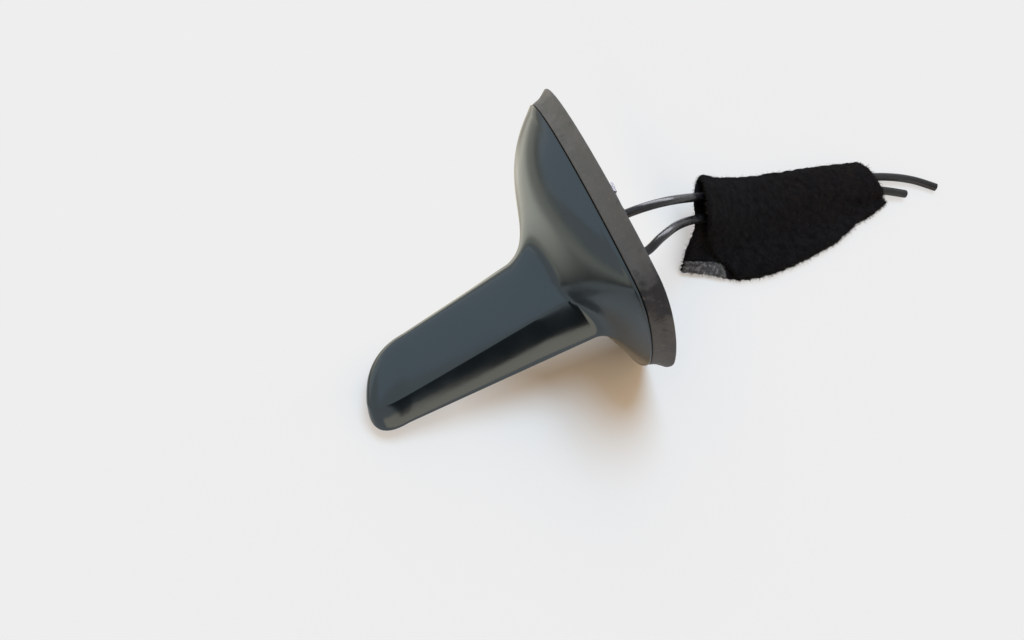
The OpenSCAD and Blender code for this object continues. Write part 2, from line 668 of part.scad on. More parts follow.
// The radiator's board: a foot in the holder, and two arms that fill the fin's inside
module radiator_board() {
    foot = holder_l / 2 - holder_wall - holder_clear;
    foot_z = board_top + holder_wall + holder_clear;
    free_z = board_top + holder_h + radiator_neck;
    low = root_front_z - radiator_below;
    top = radiator_top;
    inset = wall + radiator_gap;
    color([0.16, 0.3, 0.18]) translate([0, radiator_t / 2, 0]) rotate([90, 0, 0]) linear_extrude(radiator_t)
        difference() {
            polygon([[-holder_back - foot, foot_z], [-holder_back + foot, foot_z],
                [-holder_back + foot, free_z], [fin_front(low, inset) - 1, low],
                [fin_front(top, inset) - arm_corner[0], top - arm_corner[0]],
                [fin_front(top, inset) - 2 * arm_corner[0], top],
                [fin_back(top, inset) + 2 * arm_corner[1], top],
                [fin_back(top, inset) + arm_corner[1], top - arm_corner[1]],
                [fin_back(low, inset) + arm_corner[1], low], [-holder_back - foot, free_z]]);
            translate([-holder_back - arm_slot, low + radiator_below]) square([radiator_slot, top]);
        }
}

module cable_ferrules() {
    z = plate_top + grommet_flange + ferrule_gap;
    color([0.78, 0.74, 0.6]) for (x = [-cable_x, cable_x]) translate([x, 0, z]) difference() {
        cylinder(r = cable_r + ferrule_clear + ferrule_wall, h = board_z - z);
        translate([0, 0, -over]) cylinder(r = cable_r + ferrule_clear, h = board_z - z + 2 * over);
    }
}

// A point on the table, given as [forward, along, above]
function lay(p) = [p[0],
    p[1] * sin(table_lean) + (table_off - p[2]) * cos(table_lean),
    -p[1] * cos(table_lean) + (table_off - p[2]) * sin(table_lean)];

// A route's points with one more between each two, on the curve through them
function smooth(p) = [for (i = [0 : len(p) - 2]) each
    [p[i], let (a = p[max(i - 1, 0)], b = p[min(i + 2, len(p) - 1)]) (9 * (p[i] + p[i + 1]) - a - b) / 16],
    p[len(p) - 1]];
function cable_path(x, route) = smooth(concat([for (z = cable_starts) [x, 0, z]], [for (p = route) lay(p)]));

module front_cable() color([0.09, 0.09, 0.1]) tube(cable_path(cable_x, front_route), cable_r, 8);
module rear_cable() color([0.09, 0.09, 0.1]) tube(cable_path(-cable_x, rear_route), cable_r, 8);

function place_of(route, l) = lookup(l, [for (p = route) [p[1], p[0]]]);
function height_of(route, l) = lookup(l, [for (p = route) [p[1], p[2]]]);

// Where the felt's sections begin and end along the table, from its back hem round the fold to its front hem
felt_from = [36, 38, 40.5, 43, 47, 49, 48, 44, 42.5, 47, 55];
felt_to = [132, 131.5, 130.5, 129.5, 128.5, 127.5, 127.5, 128.5, 129.5, 130.5, 131];
felt_stations = 11;
fold_r = 1.7;           // radius of the felt's fold
felt_out = 1;           // how far past a cable the felt keeps its height before it falls off
felt_tilt = 0.25;       // how much the felt lifts per unit that one cable lies above the other
felt_sag = 0.4;         // how far the felt has risen halfway from its hem to the cable
hem_step = 0.4;         // how far the upper layer's hem stands back from the lower layer's

// Middle of the felt's thickness at its j-th section point, as [forward, above], at l along the table
function felt_middle(j, l) =
    let (steep = (height_of(front_route, l - 4) - height_of(front_route, l + 4)) / 8,
        k = (cable_r + felt_clear + felt_t / 2) * sqrt(1 + steep * steep) + felt_gap / 2,
        x1 = place_of(front_route, l), h1 = height_of(front_route, l),
        x2 = place_of(rear_route, l), h2 = height_of(rear_route, l),
        tilt = max(0, h1 - h2) * felt_tilt,
        hem = lookup(l, felt_hem), fold = lookup(l, felt_fold),
        low = felt_gap + felt_t / 2,
        high = low + felt_t + felt_gap,
        under = max(low, h2 - k - tilt * felt_tilt), side = (hem + x2) / 2)
    [[hem, low], [side, mix(low, under, felt_sag)], [x2 - felt_out, under],
        [x1 + felt_out, max(low, h1 - k - tilt * felt_tilt)],
        [fold - fold_r, max(low, h1 - fold_r)], [fold, max(low + fold_r, h1)],
        [fold - fold_r, max(low + 2 * fold_r, h1 + fold_r)],
        [x1 + felt_out, h1 + k + tilt], [x2 - felt_out, h2 + k + tilt],
        [side, mix(high, under + felt_t + felt_gap, felt_sag)], [hem + hem_step, high]][j];

function felt_grid(side) =
    [for (i = [0 : felt_stations - 1]) [for (j = [0 : len(felt_from) - 1])
        let (l = mix(felt_from[j], felt_to[j], i / (felt_stations - 1)),
            before = felt_middle(max(j - 1, 0), l),
            after = felt_middle(min(j + 1, len(felt_from) - 1), l),
            along = unit(after - before),
            m = felt_middle(j, l) + side * felt_t / 2 * [-along[1], along[0]])
        lay([m[0], l, m[1]])]];

module felt_wrap() {
    color([0.06, 0.055, 0.05]) sheet(felt_grid(-1), felt_grid(1));
}

cover();
gasket();
base_plate();
hole_seal();
cover_seal();
front_clip();
rear_clip();
front_grommet();
rear_grommet();
circuit_board();
board_screws();
cover_screws();
patch_pad();
patch_ceramic();
patch_electrode();
feed_pin();
shield_can();
filter_chip();
amplifier_chip();
capacitors();
radiator_board();
radiator_holder();
cable_ferrules();
front_cable();
rear_cable();
felt_wrap();
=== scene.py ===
"""Roof antenna with its two cut cables and the scrap of felt, dressed for the photograph.

The sizes and the form functions are the part's own, in millimetres; meshes are made in metres.
"""
import math
import random

import bpy
from mathutils import Matrix, Vector, noise


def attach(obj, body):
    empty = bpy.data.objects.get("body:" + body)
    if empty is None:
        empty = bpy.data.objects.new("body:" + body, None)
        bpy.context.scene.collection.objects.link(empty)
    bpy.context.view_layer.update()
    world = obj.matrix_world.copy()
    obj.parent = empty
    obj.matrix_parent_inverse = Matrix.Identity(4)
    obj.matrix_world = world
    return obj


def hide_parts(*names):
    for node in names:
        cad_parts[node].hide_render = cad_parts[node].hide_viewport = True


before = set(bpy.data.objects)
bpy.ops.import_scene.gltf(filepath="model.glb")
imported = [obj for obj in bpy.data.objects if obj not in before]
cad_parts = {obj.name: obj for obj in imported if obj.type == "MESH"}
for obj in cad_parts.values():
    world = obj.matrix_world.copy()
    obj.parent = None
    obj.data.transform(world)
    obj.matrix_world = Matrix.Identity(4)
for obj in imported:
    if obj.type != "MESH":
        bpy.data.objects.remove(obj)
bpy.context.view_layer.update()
scene = bpy.context.scene
MM = 0.001

# The camera that took the photograph: its place, and its own axes as directions in the part's frame
CAMERA_PLACE = Vector((-97.12, -371.55, 82.06)) * MM
CAMERA_RIGHT = Vector((-0.3951, -0.0086, -0.9186))
CAMERA_UP = Vector((0.8908, -0.2479, -0.3808))
CAMERA_BACK = Vector((-0.2245, -0.9687, 0.1056))
CAMERA_LENS, SENSOR_WIDTH = 42.19, 36
CLIP_START, CLIP_END = 0.01, 20


def make_camera():
    data = bpy.data.cameras.new("camera")
    data.lens = CAMERA_LENS
    data.sensor_width = SENSOR_WIDTH
    data.clip_start = CLIP_START
    data.clip_end = CLIP_END
    camera = bpy.data.objects.new("camera", data)
    back = CAMERA_BACK.normalized()
    right = CAMERA_UP.cross(back).normalized()
    up = back.cross(right)
    turn = Matrix((right, up, back)).transposed().to_4x4()
    camera.matrix_world = Matrix.Translation(CAMERA_PLACE) @ turn
    scene.collection.objects.link(camera)
    scene.camera = camera


make_camera()

# Sizes are in millimetres, angles in degrees, and a power sets how round a curve is.
# The footprint
NOSE_X, TAIL_X, HALF_W, WIDEST_BACK = 57.5, 44.5, 33, 23.5
NOSE_POWER, TAIL_POWER, SIDE_POWER = 1.3, 2.1, 1.6
# The skirt, with its rounded foot as (out, up), its flare as shares of its reach and height, and its
# rounded top edge as (in, down)
SKIRT_H, SKIRT_FLARE, SKIRT_T, FLANGE_T, FLANGE_W, FLANGE_GAP = 6.5, 3.3, 2, 2, 3.6, 0.2
SKIRT_FOOT = ((-0.25, 0), (-0.08, 0.06), (0, 0.25), (-0.05, 0.6))
SKIRT_CURVE = ((0.14, 0.16), (0.36, 0.3), (0.6, 0.46), (0.77, 0.62), (0.88, 0.78), (0.96, 0.9))
SKIRT_TOP = ((0, 0.3), (0.07, 0.08), (0.3, 0))
CHAMFER, CREASE = 0.1, 0.02
# The seam above the skirt, and the cover's wall with its rounded lower edge as steps out and up
SEAM_GAP, WALL, EDGE_W = 0.3, 2.5, 4.2
SEAM_Z = SKIRT_H + SEAM_GAP
LIP = ((-0.42, 0), (-0.2, 0.03), (-0.06, 0.14), (0, 0.34))
# The fin
ROOT_FRONT_Z, ROOT_BACK_Z, TIP_FRONT_Z, TIP_BACK_Z = 36, 20, 75, 84
FRONT_X, FRONT_LEAN, BACK_BACK, BACK_LEAN = 6.5, 11.5, 26.8, 1.8
FIN_HALF_ROOT, FIN_HALF_TIP, BACK_DEPTH_ROOT, BACK_DEPTH_TIP = 9.2, 5.2, 12.5, 7.2
FRONT_POWER, BACK_POWER, FRONT_NARROW, SIDE_DIP, BACK_THIN = 2.4, 1.27, 0.22, 3.5, 0.3
TIP_RISE, TIP_LEAN, TIP_CLOSE, TIP_NARROW = 14.2, 0.13, 0.8, 0.4
# The dome between the seam and the fin, in pairs for its tail and its nose
DOME_BLEND, FLANK_EASE = 1.3, 3
DOME_LEAVE, DOME_JOIN = (0.45, 0.43), (-0.03, 0.11)
DOME_CLIMB, DOME_FALL, DOME_THIN = (5, 23.6), (7, 15), (0.4, 1.2)
# The finished flanks run straighter from the fin to the seam than the plain model's
FLANK_LOW, FLANK_HIGH, FLANK_SPAN = 4, 8, 6
# Points round each piece, and rows up the dome, the fin and the tip. The tip's crowd together where it
# turns over.
COVER_AROUND, GASKET_AROUND = 192, 240
OUTER_ROWS, INNER_ROWS = (56, 30, 26), (20, 10, 10)
TIP_CROWD = 1.6

# The table that the part lies on in the photograph
TABLE_LEAN = math.radians(17)
TABLE_OFF = HALF_W * math.cos(TABLE_LEAN)

# The cables: the heights that both pass as they leave straight down, then their routes on the table as
# (forward, along, above)
CABLE_R, CABLE_X, CABLE_ROUNDNESS = 1.55, 7.2, 5
CABLE_STARTS = (8.2, 2, -3)
FRONT_ROUTE = ((7.2, 9, 34.3), (7.1, 16, 35), (7.3, 24, 33.2), (8, 34, 28), (9, 45, 20.8),
               (9.3, 57, 13.8), (9, 69, 8.2), (8.1, 82, 5), (6.9, 96, 4.1), (5.2, 110, 4),
               (3.4, 122, 4), (1.3, 133, 3.3), (-1.5, 143, 2.4), (-5.1, 151, 1.9), (-9.8, 158, 1.7))
REAR_ROUTE = ((-6.9, 8, 33.9), (-4.8, 13, 34.4), (-2.4, 19.5, 32.6), (-0.2, 26.5, 28.4),
              (1.6, 35, 22.8), (2.7, 44, 17), (3.3, 55, 12), (3.3, 67, 7.6), (2.5, 80, 5),
              (1.5, 94, 4.1), (-0.1, 108, 4), (-2.1, 121, 4), (-4.3, 131, 3.5), (-8.5, 142.5, 2))

# The felt round the cables, and its fold and hem as (along, forward)
FELT_T, FELT_CLEAR, FELT_GAP = 1.8, 0.35, 0.2
FOLD_R, FELT_OUT, FELT_TILT, FELT_SAG, HEM_STEP, SLOPE_STEP = 1.7, 1, 0.25, 0.4, 0.4, 4
FELT_FOLD = ((40, 16.9), (49, 16.9), (62, 15.8), (86, 14.2), (106, 11.8), (120, 9.4), (128, 8.2))
FELT_HEM = ((36, -9), (45, -13), (52, -17.4), (59, -20), (69, -21.3), (82, -20.7), (98, -18.4),
            (106, -17.2), (113, -13.8), (124, -12), (132, -9.6))
# Where each point of its section starts and ends along the table
FELT_FROM = (36, 38, 40.5, 43, 47, 49, 48, 44, 42.5, 47, 55)
FELT_TO = (132, 131.5, 130.5, 129.5, 128.5, 127.5, 127.5, 128.5, 129.5, 130.5, 131)
# Its grid, how ragged its edge is, and its waves as (scale, height)
FELT_STATIONS, FELT_ROWS, FELT_COLUMNS = 11, 150, 170
RAGGED, RAGGED_SCALE = 0.6, 1.3
FELT_WAVES = ((0.35, 0.35), (1.1, 0.2), (2.9, 0.12))
EDGE_THIN, EDGE_RISE = 0.45, 0.3
# Its fibres, then those on its faces and those out of its edges: how many, from how short to how long,
# where they root as a share of the thickness, and how they stray and bend
FIBRE_R, FIBRE_THIN, FIBRE_RINGS, FIBRE_SIDES, FIBRE_SEED = 0.05, 0.6, 4, 3, 11
FACE_FIBRES, FACE_LENGTHS, FACE_ROOT, FACE_LIFT = 8000, (0.4, 1.2), 0.48, (0.2, 1.6)
FACE_BEND, FACE_DROOP, ALONG_SCATTER, ACROSS_SCATTER = 0.5, 0.2, 0.5, 0.2
EDGE_FIBRES, EDGE_LENGTHS, EDGE_ROOT, EDGE_STRAY, EDGE_BEND = 3600, (0.3, 1.2), 0.4, 0.7, 0.6
# The adhesive strip at its corner
STRIP_ROWS, STRIP_COLUMNS = 25, 10
STRIP_RISE, STRIP_SINK, STRIP_EDGE, STRIP_CRINKLE, CRINKLE_SCALE = 0.32, 0.15, 0.1, 0.12, 1.1


def mix(a, b, k):
    return a + (b - a) * k


def power(v, p):
    """v raised to p, with v's sign."""
    return math.copysign(abs(v) ** p, v)


def lookup(x, table):
    """The value at x between the (x, value) rows of a table, and level past its ends."""
    if x <= table[0][0]:
        return table[0][1]
    for (x0, y0), (x1, y1) in zip(table, table[1:]):
        if x <= x1:
            return mix(y0, y1, (x - x0) / (x1 - x0))
    return table[-1][1]


# The cover's form, with each point given by its turn t from the nose
def footprint(t, off):
    """The base's outline, moved out by off."""
    c, s = math.cos(t), math.sin(t)
    if c >= 0:
        return (-WIDEST_BACK + (NOSE_X + WIDEST_BACK + off) * c ** (2 / NOSE_POWER), (HALF_W + off) * s)
    return (-WIDEST_BACK - (TAIL_X - WIDEST_BACK + off) * (-c) ** (2 / TAIL_POWER),
            (HALF_W + off) * power(s, 2 / SIDE_POWER))


def fin_front(z, inset):
    return FRONT_X - (z - ROOT_FRONT_Z) * math.tan(math.radians(FRONT_LEAN)) - inset


def fin_back(z, inset):
    return -BACK_BACK - (z - ROOT_BACK_Z) * math.tan(math.radians(BACK_LEAN)) + inset


def fin_half(z, inset):
    share = max(0, z - ROOT_FRONT_Z) / (TIP_BACK_Z - ROOT_FRONT_Z)
    return mix(FIN_HALF_ROOT, FIN_HALF_TIP, share) - inset


def fin_point(t, v, inset):
    """A point of the fin's skin at v from its root, 0, to its tip, 1."""
    c, s = math.cos(t), math.sin(t)
    front_z, back_z = mix(ROOT_FRONT_Z, TIP_FRONT_Z, v), mix(ROOT_BACK_Z, TIP_BACK_Z, v)
    fx, bx = fin_front(front_z, inset), fin_back(back_z, inset)
    depth = mix(BACK_DEPTH_ROOT, BACK_DEPTH_TIP, v) - inset * BACK_THIN
    ridge = bx + depth
    if c >= 0:
        x = ridge + (fx - ridge) * c ** (2 / FRONT_POWER)
        narrow = 1 - FRONT_NARROW * (x - ridge) / (fx - ridge)
        side = power(s, 2 / FRONT_POWER)
    else:
        x = ridge - depth * (-c) ** (2 / BACK_POWER)
        narrow = 1
        side = power(s, 2 / BACK_POWER)
    z = mix(back_z, front_z, (x - bx) / (fx - bx)) - SIDE_DIP * (1 - v) * s * s
    return Vector((x, fin_half(z, inset) * narrow * side, z))


def dome_point(t, u, inset, edge_inset):
    """A point of the dome's skin at u from the seam, 0, to the fin's root, 1."""
    seam = footprint(t, -SKIRT_FLARE - edge_inset)
    root = fin_point(t, 0, inset)
    low = Vector((seam[0], seam[1], SEAM_Z))
    toward = Vector((root[0] - seam[0], root[1] - seam[1], 0))
    turn = (1 + math.cos(t)) / 2
    ahead = turn ** DOME_BLEND
    ease = FLANK_EASE * math.sin(t) ** 2 * (1 - turn)
    flank = math.sin(t) ** FLANK_SPAN
    leave = mix(*DOME_LEAVE, ahead)
    join = mix(*DOME_JOIN, turn)
    drop = inset * mix(*DOME_THIN, ahead)
    climb = mix(*DOME_CLIMB, ahead) - ease - FLANK_LOW * flank
    fall = mix(*DOME_FALL, ahead) - ease - FLANK_HIGH * flank
    second = low + toward * leave + Vector((0, 0, climb - drop))
    third = root - toward * join - Vector((0, 0, fall + drop))
    a, b, d, e = (1 - u) ** 3, 3 * u * (1 - u) ** 2, 3 * u * u * (1 - u), u ** 3
    return a * low + b * second + d * third + e * root


def tip_point(t, w, inset):
    """A point of the tip's skin at w from the fin's rim, 0, to the top, 1."""
    rim = fin_point(t, 1, inset)
    centre = (fin_point(0, 1, inset) + fin_point(math.pi, 1, inset)) / 2
    turn = math.pi / 2 * w
    close, narrow = max(0, math.cos(turn)) ** TIP_CLOSE, max(0, math.cos(turn)) ** TIP_NARROW
    rise = (TIP_RISE - inset) * math.sin(turn) ** TIP_CLOSE
    return Vector((centre.x + (rim.x - centre.x) * close - rise * TIP_LEAN,
                   rim.y * narrow,
                   centre.z + (rim.z - centre.z) * close + rise))


# Meshes
def make_object(name, points, faces, material):
    """A mesh object of the given points in millimetres."""
    mesh = bpy.data.meshes.new(name)
    mesh.from_pydata([tuple(Vector(p) * MM) for p in points], [], faces)
    mesh.update()
    mesh.validate()
    mesh.shade_smooth()
    mesh.materials.append(material)
    obj = bpy.data.objects.new(name, mesh)
    scene.collection.objects.link(obj)
    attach(obj, "root")
    return obj


def ring_faces(rings, around, closed=False):
    """Faces between rings of points, each above the last; closed joins the last to the first."""
    faces = []
    for k in range(rings if closed else rings - 1):
        low, high = k * around, (k + 1) % rings * around
        for i in range(around):
            j = (i + 1) % around
            faces.append((low + i, low + j, high + j, high + i))
    return faces


def angles(around):
    """Turns that start half a step on, so that none lies on the part's middle plane."""
    return [2 * math.pi * (i + 0.5) / around for i in range(around)]


def skin_rings(inset, edge_inset, around, domes, fins, tips):
    """Rings of points up the cover's skin, so many for the dome, the fin and the tip."""
    turns = angles(around)
    rings = [[dome_point(t, k / domes, inset, edge_inset) for t in turns] for k in range(domes + 1)]
    rings += [[fin_point(t, k / fins, inset) for t in turns] for k in range(1, fins + 1)]
    for k in range(1, tips):
        closing = 1 - (1 - k / tips) ** TIP_CROWD
        rings.append([tip_point(t, closing, inset) for t in turns])
    return rings


def make_cover(material):
    """The hollow moulding, its skin run down the inside, round the lower edge and up the outside."""
    around = COVER_AROUND
    outer = skin_rings(0, 0, around, *OUTER_ROWS)
    inner = skin_rings(WALL, EDGE_W, around, *INNER_ROWS)
    lip = []
    for out, up in LIP:
        lip.append([Vector((*footprint(t, out - SKIRT_FLARE), SEAM_Z + up)) for t in angles(around)])
    lip_top = SEAM_Z + LIP[-1][1]
    rise = [ring for ring in outer if min(ring[0].z, ring[around // 2].z) > lip_top]
    rings = inner[::-1] + lip + rise
    points = [p for ring in rings for p in ring]
    faces = ring_faces(len(rings), around)
    # The two ends are closed at the tip's top, inside and outside
    points += [tip_point(0, 1, WALL), tip_point(0, 1, 0)]
    last = (len(rings) - 1) * around
    for i in range(around):
        faces.append(((i + 1) % around, i, len(points) - 2))
        faces.append((last + i, last + (i + 1) % around, len(points) - 1))
    cover = make_object("cover_shell", points, faces, material)
    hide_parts("cover")


def make_gasket(material):
    """The skirt, one closed section carried round the footprint."""
    around = GASKET_AROUND
    inner = -SKIRT_FLARE - SKIRT_T
    foot = inner - FLANGE_GAP - FLANGE_W
    # The section goes up the outside, over the top, down the inside and round the flange
    profile = list(SKIRT_FOOT)
    profile += [(-reach * SKIRT_FLARE, height * SKIRT_H) for reach, height in SKIRT_CURVE]
    profile += [(-SKIRT_FLARE - back, SKIRT_H - down) for back, down in SKIRT_TOP]
    profile += [(inner + CHAMFER, SKIRT_H), (inner, SKIRT_H - CHAMFER),
                (inner, FLANGE_T + CREASE), (inner - CREASE, FLANGE_T),
                (foot + CHAMFER, FLANGE_T), (foot, FLANGE_T - CHAMFER),
                (foot, CHAMFER), (foot + CHAMFER, 0)]
    points = [Vector((*footprint(t, off), z)) for off, z in profile for t in angles(around)]
    faces = ring_faces(len(profile), around, closed=True)
    gasket = make_object("gasket_skirt", points, faces, material)
    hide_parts("gasket")


# Cables
def lay(p):
    """A point on the table, given as (forward, along, above)."""
    s, c = math.sin(TABLE_LEAN), math.cos(TABLE_LEAN)
    return Vector((p[0], p[1] * s + (TABLE_OFF - p[2]) * c, -p[1] * c + (TABLE_OFF - p[2]) * s))


def smooth(points):
    """The points with one more between each two, on the curve through them."""
    result = []
    for i in range(len(points) - 1):
        a, b = points[max(i - 1, 0)], points[min(i + 2, len(points) - 1)]
        result += [points[i], (9 * (points[i] + points[i + 1]) - a - b) / 16]
    return result + [points[-1]]


def cable_path(x, route):
    """From the grommet at x straight down, then along the route on the table."""
    points = [Vector((x, 0, z)) for z in CABLE_STARTS] + [lay(p) for p in route]
    return smooth(smooth(smooth(points)))


def make_cable(name, x, route, material):
    path = cable_path(x, route)
    curve = bpy.data.curves.new(name, "CURVE")
    curve.dimensions = "3D"
    curve.bevel_depth = CABLE_R * MM
    curve.bevel_resolution = CABLE_ROUNDNESS
    curve.use_fill_caps = True
    spline = curve.splines.new("POLY")
    spline.points.add(len(path) - 1)
    for spot, p in zip(spline.points, path):
        spot.co = (*(p * MM), 1)
    spline.use_smooth = True
    curve.materials.append(material)
    cable = bpy.data.objects.new(name, curve)
    scene.collection.objects.link(cable)
    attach(cable, "root")
    return cable


# Materials
def rgb(r, g, b):
    return (r, g, b, 1)


def grey(level):
    return rgb(level, level, level)


def add_node(tree, kind, inputs=None, **settings):
    """A new node, with each input set to its value or linked to the socket given."""
    node = tree.nodes.new(kind)
    for key, value in settings.items():
        setattr(node, key, value)
    for key, value in (inputs or {}).items():
        socket = node.inputs[key]
        if isinstance(value, bpy.types.NodeSocket):
            tree.links.new(value, socket)
        else:
            socket.default_value = value
    return node


class Finish:
    """One material's node tree round its Principled shader. Scales are in features per metre."""

    def __init__(self, name, **values):
        self.material = bpy.data.materials.new(name)
        self.material.use_nodes = True
        self.tree = self.material.node_tree
        self.shader = self.tree.nodes["Principled BSDF"]
        for socket, value in values.items():
            self.shader.inputs[socket.replace("_", " ")].default_value = value
        self.place = self.add("ShaderNodeTexCoord").outputs["Object"]
        self.normal = None

    def add(self, kind, inputs=None, **settings):
        return add_node(self.tree, kind, inputs, **settings)

    def noise(self, scale, detail=3, rough=0.5, stretch=None):
        """A cloud with values from 0 to 1."""
        place = self.place
        if stretch:
            place = self.add("ShaderNodeMapping", {"Vector": place, "Scale": stretch}).outputs[0]
        return self.add("ShaderNodeTexNoise", {"Vector": place, "Scale": scale, "Detail": detail,
                                               "Roughness": rough}).outputs[0]

    def spread(self, value, low, high, to_low=0.0, to_high=1.0):
        """The value's range from low to high, stretched to another range and held within it."""
        return self.add("ShaderNodeMapRange", {"Value": value, "From Min": low, "From Max": high,
                                               "To Min": to_low, "To Max": to_high}).outputs[0]

    def maths(self, what, a, b=0.0):
        return self.add("ShaderNodeMath", {0: a, 1: b}, operation=what).outputs[0]

    def colours(self, share, first, second):
        """The first colour where the share is 0, and the second where it is 1."""
        return self.add("ShaderNodeMix", {0: share, 6: first, 7: second}, data_type="RGBA").outputs[2]

    def mixed(self, share, first, second):
        """The first shader where the share is 0, and the second where it is 1."""
        return self.add("ShaderNodeMixShader", {0: share, 1: first, 2: second}).outputs[0]

    def axis(self, index):
        return self.add("ShaderNodeSeparateXYZ", {0: self.place}).outputs[index]

    def near(self, spot, inner, outer):
        """1 within the inner distance of the spot, in metres, and 0 beyond the outer one."""
        gap = self.add("ShaderNodeVectorMath", {0: self.place, 1: spot}, operation="DISTANCE")
        return self.spread(gap.outputs["Value"], inner, outer, 1.0, 0.0)

    def bump(self, height, distance, strength=1.0):
        """The height, from 0 to 1, raises the skin by up to the distance in metres."""
        inputs = {"Height": height, "Distance": distance, "Strength": strength}
        if self.normal:
            inputs["Normal"] = self.normal
        self.normal = self.add("ShaderNodeBump", inputs).outputs[0]

    def done(self, colour=None, rough=None):
        for value, socket in ((colour, "Base Color"), (rough, "Roughness"), (self.normal, "Normal")):
            if value is not None:
                self.tree.links.new(value, self.shader.inputs[socket])
        return self.material


# A dark patch low on the gasket's side near its tail, and the felt's fold with painted light and a
# brown tint
DARK_PATCH = Vector((-30, -31, 3)) * MM
FOLD_PAINTED_LIGHT = Vector((14, 60, -96)) * MM


def cover_plastic():
    """Blue-black moulded plastic with an even gloss and a little dust."""
    f = Finish("cover_plastic", IOR=1.68, Specular_Tint=rgb(0.78, 0.93, 1.0))
    cloud = f.noise(45, detail=4, rough=0.55)
    grain = f.noise(5200, detail=2)
    dust = f.spread(f.noise(900, detail=4, rough=0.7), 0.62, 0.85)
    colour = f.colours(f.spread(cloud, 0.3, 0.7), rgb(0.005, 0.008, 0.011), rgb(0.008, 0.0115, 0.0145))
    colour = f.colours(f.maths("MULTIPLY", dust, 0.2), colour, rgb(0.05, 0.05, 0.046))
    rough = f.spread(f.noise(160, detail=3), 0.3, 0.7, 0.12, 0.18)
    f.bump(grain, 0.00002, 0.3)
    return f.done(colour, rough)


def gasket_rubber():
    """Grey mottled rubber, cleaner and darker toward the tail than the nose."""
    f = Finish("gasket_rubber", IOR=1.45)
    toward_nose = f.spread(f.axis(0), -0.03, 0.052)
    mottle = f.noise(140, detail=6, rough=0.7)
    fine = f.noise(700, detail=4, rough=0.7)
    dusty = f.colours(f.spread(mottle, 0.38, 0.62), rgb(0.135, 0.128, 0.123), rgb(0.092, 0.097, 0.090))
    clean = f.colours(f.spread(mottle, 0.38, 0.62), rgb(0.042, 0.044, 0.047), rgb(0.078, 0.079, 0.080))
    colour = f.colours(toward_nose, clean, dusty)
    patchy = f.spread(f.noise(260, detail=4), 0.4, 0.7, -0.35, 0.35)
    # The gasket is painted darker round a patch low on its side near the tail
    darkened = f.maths("ADD", f.near(DARK_PATCH, 0.004, 0.014), patchy)
    colour = f.colours(f.spread(darkened, 0.2, 0.9), colour, rgb(0.010, 0.010, 0.013))
    colour = f.colours(f.spread(fine, 0.58, 0.75, 0, 0.4), colour, rgb(0.19, 0.175, 0.155))
    rough = f.spread(mottle, 0.3, 0.7, 0.55, 0.75)
    f.bump(f.noise(2600, detail=3), 0.00005, 0.5)
    f.bump(mottle, 0.0004, 0.3)
    return f.done(colour, rough)


def cable_jacket():
    """Black glossy jacket with smears."""
    f = Finish("cable_jacket", IOR=1.42)
    smear = f.noise(220, detail=4, rough=0.6)
    colour = f.colours(f.spread(smear, 0.35, 0.7), rgb(0.006, 0.006, 0.008), rgb(0.016, 0.016, 0.018))
    rough = f.spread(smear, 0.3, 0.7, 0.2, 0.33)
    f.bump(f.noise(1800, detail=3), 0.00004, 0.35)
    return f.done(colour, rough)


def black_felt():
    """Matt black felt in clumps, with fibres and lint."""
    f = Finish("black_felt", Specular_IOR_Level=0, Sheen_Weight=0.05, Sheen_Roughness=0.5)
    clump = f.noise(380, detail=6, rough=0.8)
    fibre = f.noise(1500, detail=5, rough=0.8, stretch=(1, 1, 0.35))
    lint = f.noise(900, detail=5, rough=0.85, stretch=(0.3, 1, 1))
    clumps = f.spread(clump, 0.36, 0.66)
    colour = f.colours(clumps, rgb(0.0006, 0.001, 0.0026), rgb(0.013, 0.013, 0.0165))
    patchy = f.spread(f.noise(220, detail=4, rough=0.7), 0.35, 0.65)
    # Painted light: round the fold, where it faces up, the felt is painted lighter and browner
    fold_painted_light = f.maths("MULTIPLY", f.near(FOLD_PAINTED_LIGHT, 0.008, 0.045), patchy)
    colour = f.colours(fold_painted_light, colour, rgb(0.0165, 0.0125, 0.0115))
    colour = f.colours(f.spread(lint, 0.56, 0.74, 0, 0.7), colour, rgb(0.040, 0.040, 0.044))
    rough = f.spread(fibre, 0.3, 0.7, 0.85, 1.0)
    f.bump(clump, 0.0016, 0.9)
    f.bump(fibre, 0.0008, 1.0)
    return f.done(colour, rough)


def felt_fringe():
    """The loose fibres' own shades, from black to a dusty grey."""
    f = Finish("felt_fringe", Specular_IOR_Level=0, Sheen_Weight=0.08, Roughness=0.9)
    tint = f.noise(420, detail=3)
    colour = f.colours(f.spread(tint, 0.35, 0.65), rgb(0.006, 0.006, 0.009), rgb(0.040, 0.038, 0.034))
    f.bump(f.noise(3000, detail=2), 0.0001, 0.5)
    return f.done(colour)


def adhesive_film():
    """A crinkled film that glints in spots."""
    f = Finish("adhesive_film", IOR=1.5)
    crinkle = f.noise(900, detail=5, rough=0.75)
    colour = f.colours(f.spread(crinkle, 0.48, 0.64), rgb(0.008, 0.008, 0.009), rgb(0.17, 0.17, 0.175))
    rough = f.spread(f.noise(1600, detail=3), 0.35, 0.65, 0.12, 0.4)
    f.bump(crinkle, 0.0007, 0.9)
    return f.done(colour, rough)


def plain_finish(name, dark, light, scale, rough_low, rough_high, depth=0.00004, metallic=0.0):
    """A finish for the parts inside: two shades in a cloud, a varied gloss and a fine bump."""
    f = Finish(name, Metallic=metallic, IOR=1.5)
    cloud = f.noise(scale, detail=4, rough=0.6)
    colour = f.colours(f.spread(cloud, 0.35, 0.65), rgb(*dark), rgb(*light))
    rough = f.spread(f.noise(scale * 2.3), 0.3, 0.7, rough_low, rough_high)
    f.bump(f.noise(scale * 5, rough=0.6), depth, 0.6)
    return f.done(colour, rough)


